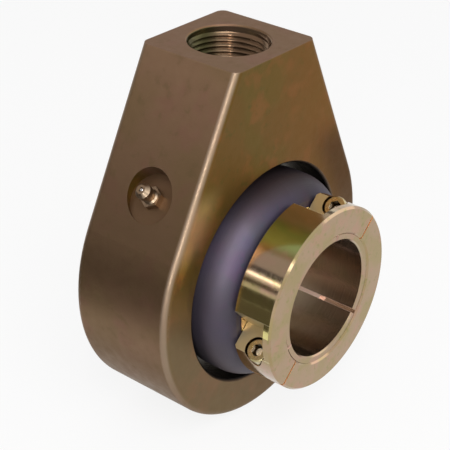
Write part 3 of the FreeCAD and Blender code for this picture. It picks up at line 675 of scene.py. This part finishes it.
# %% Material: socket screw
SCREW_FILM = ((196, 180, 140), (170, 158, 112), (190, 160, 130), (160, 156, 110), 0.006, 0.6)
SCREW_OFFSET, SCREW_ALONG = 0.0330, -0.0467
SOCKET_MOUTH, SOCKET_FLOOR = 0.01645, 0.0136
SOCKET_REACH, DRILL_POINT_REACH = 0.0027, 0.0017


def socket_screw():
    """Plated screw: a light head, painted shade on the socket wall, a painted highlight on its
    floor.
    """
    material, tree, shader = new_material("Screw steel")
    here = use_group(tree, place)
    across, over = math_node(tree, "ABSOLUTE", here["Across"]), here["Over"]
    from_screw = length_of(tree, x=math_node(tree, "SUBTRACT", across, SCREW_OFFSET),
                           y=math_node(tree, "SUBTRACT", here["Along"], SCREW_ALONG))
    # painted shade on the socket's walls
    socket = overlap(tree, ramp(tree, from_screw, SOCKET_REACH + 0.0001, SOCKET_REACH),
                     ramp(tree, over, SOCKET_MOUTH + 0.00015, SOCKET_MOUTH))
    # painted highlight at the socket's floor
    drill_point_highlight = overlap(tree, socket, ramp(tree, over, SOCKET_FLOOR + 0.0001, SOCKET_FLOOR),
                          ramp(tree, from_screw, DRILL_POINT_REACH + 0.0003, DRILL_POINT_REACH))
    colour = laid_over(tree, zinc_film(tree, *SCREW_FILM)["Color"],
                       (socket, 1.0, (58, 44, 26)), (drill_point_highlight, 1.0, (250, 244, 226)))
    relief = use_group(tree, grain, Grain=0.0003, Waves=0.002)["Height"]
    finish(tree, shader, colour, relief, 0.000006, between(tree, relief, 0.18, 0.30))
    return material


keep("plated_screw", socket_screw())

# %% [markdown]
# Rubber seals and a moulded cage sit deep inside. They aren't metal, so Metallic is 0, and the
# grain group gives them the faint matt skin of a mould.

# %% Materials: rubber and cage
def moulded(name, colour, roughness, grain_size):
    """Moulded rubber or plastic with a faint grain."""
    material, tree, shader = new_material(name, metallic=0.0, roughness=roughness)
    paler, darker = [tuple(part * share for part in colour[:3]) + (1.0,) for share in (1.25, 0.8)]
    film = use_group(tree, tint, Base=colour, Olive=colour, Rose=paler, Green=darker,
                     Cloud_size=0.01, Strength=0.5)
    relief = use_group(tree, grain, Grain=grain_size, Waves=grain_size * 6)["Height"]
    finish(tree, shader, film["Color"], relief, 0.00004)
    return material


keep("seal_rubber", moulded("Seal rubber", srgb(38, 36, 36), 0.55, 0.0004))
keep("cage_plastic", moulded("Cage plastic", srgb(96, 78, 52), 0.5, 0.0006))

# %% [markdown]
# Every CAD node keeps its mesh and gets the material that the record's slot names. The slots are
# in the part's record, so the same piece can be dressed another way elsewhere.

# %% Dress the CAD nodes
for entry in frame["record"]["subparts"]:
    mesh = nodes[entry["node"]].data
    mesh.materials.clear()
    mesh.materials.append(materials[entry["material_slot"]])

# %% [markdown]
# Some pieces are built here from arrays of points. A curved surface is easiest to write as a
# grid: two parameters, a formula that gives a point for each pair, and quads between neighbours.
# The faces are then the same for every grid, and only the formula differs.

# %% Helpers: grids and objects
def grid_faces(rows, columns, close_columns=True):
    """Quads between the points of a grid, wrapped round its columns where asked."""
    row = np.arange(rows - 1)[:, None]
    column = np.arange(columns if close_columns else columns - 1)[None, :]
    following = (column + 1) % columns
    corners = [row * columns + column, row * columns + following,
               (row + 1) * columns + following, (row + 1) * columns + column]
    return np.stack(corners, -1).reshape(-1, 4)


def new_mesh(name, points, faces, material, caps=()):
    """A mesh in one material from arrays of points and quads, with caps for its open ends."""
    mesh = bpy.data.meshes.new(name)
    polygons = faces.tolist() + [list(cap) for cap in caps]
    mesh.from_pydata(points.reshape(-1, 3).tolist(), [], polygons)
    mesh.materials.append(material)
    return mesh


def new_object(name, data):
    """An object at the origin that shows a mesh, a lamp or a camera."""
    item = bpy.data.objects.new(name, data)
    bpy.context.scene.collection.objects.link(item)
    return item


def make_piece(name, points, faces, material, body, caps=()):
    """A smooth piece of the part, riding on a body if one is named."""
    mesh = new_mesh(name, points, faces, material, caps)
    mesh.polygons.foreach_set("use_smooth", np.full(len(mesh.polygons), True))
    mesh.update()
    piece = new_object(name, mesh)
    if body:
        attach(piece, body)
    return piece


print("a grid of 3 by 4 points, closed round, has", len(grid_faces(3, 4)), "faces")

# %% [markdown]
# The pipe's thread is a helix of triangular ridges on the wall of the hole. The CAD wall is plain
# at the thread's root, so the ridges are a new closed piece: a grid whose first parameter runs
# round the hole and on to the next turn, and whose second runs up one flank and down the other.

# %% Build the pipe thread
PIPE_ROOT, PIPE_CREST = 0.01662, 0.01520
PIPE_PITCH = 0.0254 / 11  # eleven turns to the inch
THREAD_LOW, THREAD_HIGH = 0.0690, 0.0968
SUNK = 0.00002  # how far the ridge's foot lies inside the wall
RUN_OUT = 0.5 * np.pi  # the angle over which an end rises to full height
LEAST_RISE = 0.02  # the share of the full height that is left at the very end
RIDGE = np.array([(0.00, 0.0), (0.06, 0.03), (0.40, 0.90), (0.46, 1.00),
                  (0.54, 1.00), (0.60, 0.90), (0.94, 0.03), (1.00, 0.0)])


def thread_ridge(root, crest, pitch, low, high, steps=120):
    """A ridge along a helix: at angle a its foot is at height low + pitch a / (2 pi), its section
    is a trapezium that stands inwards from the root, and both ends run out into the wall."""
    turns = (high - low) / pitch - 1
    count = int(turns * steps)
    angle = np.linspace(0, turns * 2 * np.pi, count)[:, None]
    rise = np.clip(np.minimum(angle, angle[-1] - angle) / RUN_OUT, LEAST_RISE, 1)
    along, depth = RIDGE[:, 0][None, :], RIDGE[:, 1][None, :]
    radius = root + SUNK - (root - crest) * depth * rise
    height = low + pitch * (angle / (2 * np.pi) + along)
    points = np.stack([radius * np.cos(angle), radius * np.sin(angle), height + 0 * radius], -1)
    columns = len(RIDGE)
    faces = grid_faces(count, columns)[:, ::-1]
    last_row = (count - 1) * columns
    caps = [range(columns), range(last_row + columns - 1, last_row - 1, -1)]
    return points, faces, caps


points, faces, caps = thread_ridge(PIPE_ROOT, PIPE_CREST, PIPE_PITCH, THREAD_LOW, THREAD_HIGH)
make_piece("pipe_thread_ridges", points, faces, materials["cast_housing"],
           "housing", caps=caps)
print("thread ridge:", len(points.reshape(-1, 3)), "points")

# %% [markdown]
# Behind the check ball of the grease fitting a small spring is pressed together when grease comes
# in. Its foot stands on the fitting and its head goes with the ball. The CAD spring is hidden and
# gives way to a helix from the fitting towards the ball, fixed in place. It is drawn round wire: a
# circle carried along the helix.

# %% Build the check valve's spring
FITTING_ANGLE, FITTING_ASIDE, SPOTFACE_FLOOR = math.radians(135.5), -0.0020, 0.065283
SPRING_FOOT, SPRING_HEAD = 0.00264, 0.00825
SPRING_RADIUS, SPRING_WIRE, SPRING_TURNS = 0.00095, 0.00014, 4

fitting_axis = np.array([math.cos(FITTING_ANGLE), 0, math.sin(FITTING_ANGLE)])
fitting_side = np.array([math.sin(FITTING_ANGLE), 0, -math.cos(FITTING_ANGLE)])
shaft_axis = np.array([0, 1, 0])
fitting_foot = fitting_axis * SPOTFACE_FLOOR + shaft_axis * FITTING_ASIDE


def coil(radius, wire, low, high, turns, steps=28, section=8):
    """A round wire along a helix: at angle a its middle is at radius from the axis and at height
    low + (high - low) a / (2 pi turns). The wire's circle spans the outward and axial
    directions."""
    count = turns * steps + 1
    angle = np.linspace(0, 2 * np.pi * turns, count)[:, None]
    around = np.linspace(0, 2 * np.pi, section, endpoint=False)[None, :]
    reach = radius + wire * np.cos(around)
    height = low + (high - low) * angle / (2 * np.pi * turns) + wire * np.sin(around)
    along_side, along_shaft = reach * np.cos(angle), reach * np.sin(angle)
    points = (fitting_foot + along_side[..., None] * fitting_side
              + along_shaft[..., None] * shaft_axis + height[..., None] * fitting_axis)
    faces = grid_faces(count, section)
    caps = [range(section - 1, -1, -1), range((count - 1) * section, count * section)]
    return points, faces, caps


points, faces, caps = coil(SPRING_RADIUS, SPRING_WIRE, SPRING_FOOT, SPRING_HEAD, SPRING_TURNS)
check_spring = make_piece("check_valve_spring", points, faces, materials["spring_steel"],
                          None, caps=caps)
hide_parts("grease_check_spring")
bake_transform(check_spring)
print("check valve spring:", len(points.reshape(-1, 3)), "points")

# %% [markdown]
# The studio is a pale floor under an even white sky. The camera sees both as white, and so does
# polished metal, while the light that falls on the part stays at a plain level. The kind of ray
# makes the difference: one that sees gets white, one that only brings light gets the lower level.

# %% Floor and world
FLOOR_HEIGHT = cad_box[0].z - 0.0005  # half a millimetre below the block
FLOOR_REACH = 6.0
PLAIN_WHITE = 0.85  # how much of the seen floor ignores lamps and shadows
SKY_LIGHT, SKY_SEEN = 0.45, 1.0


def seen_rays(tree):
    """1 for rays that see: those of the camera, of reflections and through clear things."""
    path = add(tree, "ShaderNodeLightPath").outputs
    seen = math_node(tree, "ADD", path["Is Camera Ray"], path["Is Glossy Ray"])
    return math_node(tree, "ADD", seen, path["Is Transmission Ray"], clamp=True)


def pale_floor():
    """Mostly plain white to rays that see, with some of the lamps' light and shadow."""
    material = bpy.data.materials.new("Pale floor")
    tree = blank_tree(material)
    matte = add(tree, "ShaderNodeBsdfDiffuse", {"Color": (0.86, 0.86, 0.86, 1)})
    white = add(tree, "ShaderNodeEmission", {"Color": (1, 1, 1, 1), "Strength": 1.0})
    share = math_node(tree, "MULTIPLY", seen_rays(tree), PLAIN_WHITE)
    mixed = add(tree, "ShaderNodeMixShader", {0: share, 1: matte.outputs[0], 2: white.outputs[0]})
    add(tree, "ShaderNodeOutputMaterial", {"Surface": mixed.outputs[0]})
    return material


corners = np.array([(-1, -1, 0), (1, -1, 0), (1, 1, 0), (-1, 1, 0)]) * FLOOR_REACH
corners[:, 2] = FLOOR_HEIGHT
floor = new_object("floor", new_mesh("floor", corners, np.array([[0, 1, 2, 3]]), pale_floor()))
floor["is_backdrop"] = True

world = bpy.data.worlds.new("Studio")
bpy.context.scene.world = world
tree = blank_tree(world)
level = add(tree, "ShaderNodeMapRange",
            {"Value": seen_rays(tree), "To Min": SKY_LIGHT, "To Max": SKY_SEEN}).outputs[0]
sky = add(tree, "ShaderNodeBackground", {"Color": (1, 1, 1, 1), "Strength": level})
add(tree, "ShaderNodeOutputWorld", {"Surface": sky.outputs[0]})
print("floor at", round(FLOOR_HEIGHT, 4))

# %% [markdown]
# A large soft key lamp and a weak fill light the whole part. Polished and rounded metal shows
# lamps as lines, so three long narrow lamps stand where their reflections draw the light line on
# the collar's rim, down the block's edge and in the pipe hole. Each one stands along a direction
# from the part.

# %% Lamps
LAMPS = (  # name, direction from the part, distance in m, width and length in m, power in W
    ("key", (-0.55, -0.75, 0.95), 1.3, (1.0, 1.0), 9),
    ("fill", (0.9, -0.5, 0.5), 1.4, (0.9, 0.9), 2),
    ("left_edge", (-0.80, -0.58, 0.10), 1.2, (0.12, 0.8), 5.4),
    ("hole_line", (-0.695, -0.546, 0.85), 1.3, (0.05, 0.7), 2.6),
    ("rim_line", (-0.73, 0.54, 0.44), 1.3, (0.8, 0.05), 0.6))


def area_lamp(name, direction, distance, size, power):
    """A rectangular lamp at a distance along a direction, facing the part."""
    lamp = bpy.data.lights.new(name, "AREA")
    lamp.shape = "RECTANGLE"
    lamp.size, lamp.size_y = size
    lamp.energy = power
    holder = new_object(name, lamp)
    towards = Vector(direction).normalized()
    holder.location = towards * distance
    holder.rotation_euler = towards.to_track_quat("Z", "Y").to_euler()


for values in LAMPS:
    area_lamp(*values)

# %% [markdown]
# In a white studio polished metal turns white all over and loses its shape. Photographers hang
# dark cards round such a part. Here they are sheets that only reflections see: bands of a large
# sphere and a sector of the floor, hidden from the camera, from diffuse light and from shadows.

# %% Cards for the reflections
CARD_ROWS, CARD_COLUMNS = 13, 25
CARD_REACH, CARD_LIFT = 1.5, 0.0004
CARD_TINT = (1.0, 0.85, 0.75, 1)


def dark_card(name, points, level=0.10):
    """A grid of points made into a sheet that only reflections see, dark and a little warm."""
    material = bpy.data.materials.new(name)
    tree = blank_tree(material)
    glow = add(tree, "ShaderNodeEmission", {"Color": CARD_TINT, "Strength": level})
    add(tree, "ShaderNodeOutputMaterial", {"Surface": glow.outputs[0]})
    faces = grid_faces(CARD_ROWS, CARD_COLUMNS, close_columns=False)
    card = new_object(name, new_mesh(name, points, faces, material))
    card.visible_camera = card.visible_diffuse = False
    card.visible_shadow = card.visible_transmission = False
    card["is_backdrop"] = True


def sky_band(azimuths, elevations):
    """Part of a sphere round the part: the reach times (cos e cos a, cos e sin a, sin e)."""
    around = np.radians(np.linspace(*azimuths, CARD_COLUMNS))[None, :]
    above = np.radians(np.linspace(*elevations, CARD_ROWS))[:, None]
    return CARD_REACH * np.stack([np.cos(above) * np.cos(around), np.cos(above) * np.sin(around),
                                  np.sin(above) + 0 * around], -1)


def floor_sector(azimuths, radii):
    """Part of a flat ring just over the floor, between two radii and two directions."""
    around = np.radians(np.linspace(*azimuths, CARD_COLUMNS))[None, :]
    radius = np.linspace(*radii, CARD_ROWS)[:, None]
    height = FLOOR_HEIGHT + CARD_LIFT + 0 * radius * around
    return np.stack([radius * np.cos(around), radius * np.sin(around), height], -1)


dark_card("card_low", sky_band((95, 190), (-2.4, 11)), level=0.075)
dark_card("card_between", sky_band((95, 190), (16, 21)))
dark_card("card_high", sky_band((20, 230), (28, 34)))
dark_card("card_top", sky_band((20, 230), (34, 89)), level=0.5)
dark_card("card_floor", floor_sector((100, 190), (0.16, 1.49)))

# %% [markdown]
# The camera stands where the photographer stood: its place and lens were solved from the outline
# of the block, the collar and the pipe hole. A camera looks along its own -Z, so its turn is a
# matrix of the directions right, up and back.

# %% Camera
AZIMUTH, ELEVATION, ROLL = math.radians(-51.832), math.radians(29.476), math.radians(1.694)
DISTANCE, ASIDE, RAISED = 0.5577, 0.00053, 0.01215
FOCAL_PIXELS, FRAME_PIXELS = 1298.0, 450

back = Vector((math.sin(AZIMUTH) * math.cos(ELEVATION), -math.cos(AZIMUTH) * math.cos(ELEVATION),
               math.sin(ELEVATION)))
right = Vector((math.cos(AZIMUTH), math.sin(AZIMUTH), 0))
up = back.cross(right)
rolled_right = right * math.cos(ROLL) + up * math.sin(ROLL)
rolled_up = up * math.cos(ROLL) - right * math.sin(ROLL)
lens = bpy.data.cameras.new("camera")
lens.sensor_width = 36.0
lens.lens = FOCAL_PIXELS / FRAME_PIXELS * lens.sensor_width
lens.clip_start = 0.01
camera = new_object("camera", lens)
placed = right * ASIDE + up * RAISED + back * DISTANCE
turned = Matrix((rolled_right, rolled_up, back)).transposed().to_4x4()
camera.matrix_world = Matrix.Translation(placed) @ turned
bpy.context.scene.camera = camera
bpy.context.scene.view_settings.view_transform = "Standard"
print("lens", round(lens.lens, 1), "mm at", [round(value, 3) for value in placed])

# %% [markdown]
# Last, the dressed part's box is set against the CAD model's, taken before anything was added,
# and how much it grew is printed. The thread and the spring lie inside the block, so the boxes
# should be the same.

# %% Sizes and finish
visual_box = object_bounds()
grown = (visual_box[1] - visual_box[0]) - (cad_box[1] - cad_box[0])
print("grown by", [round(value, 6) for value in grown])
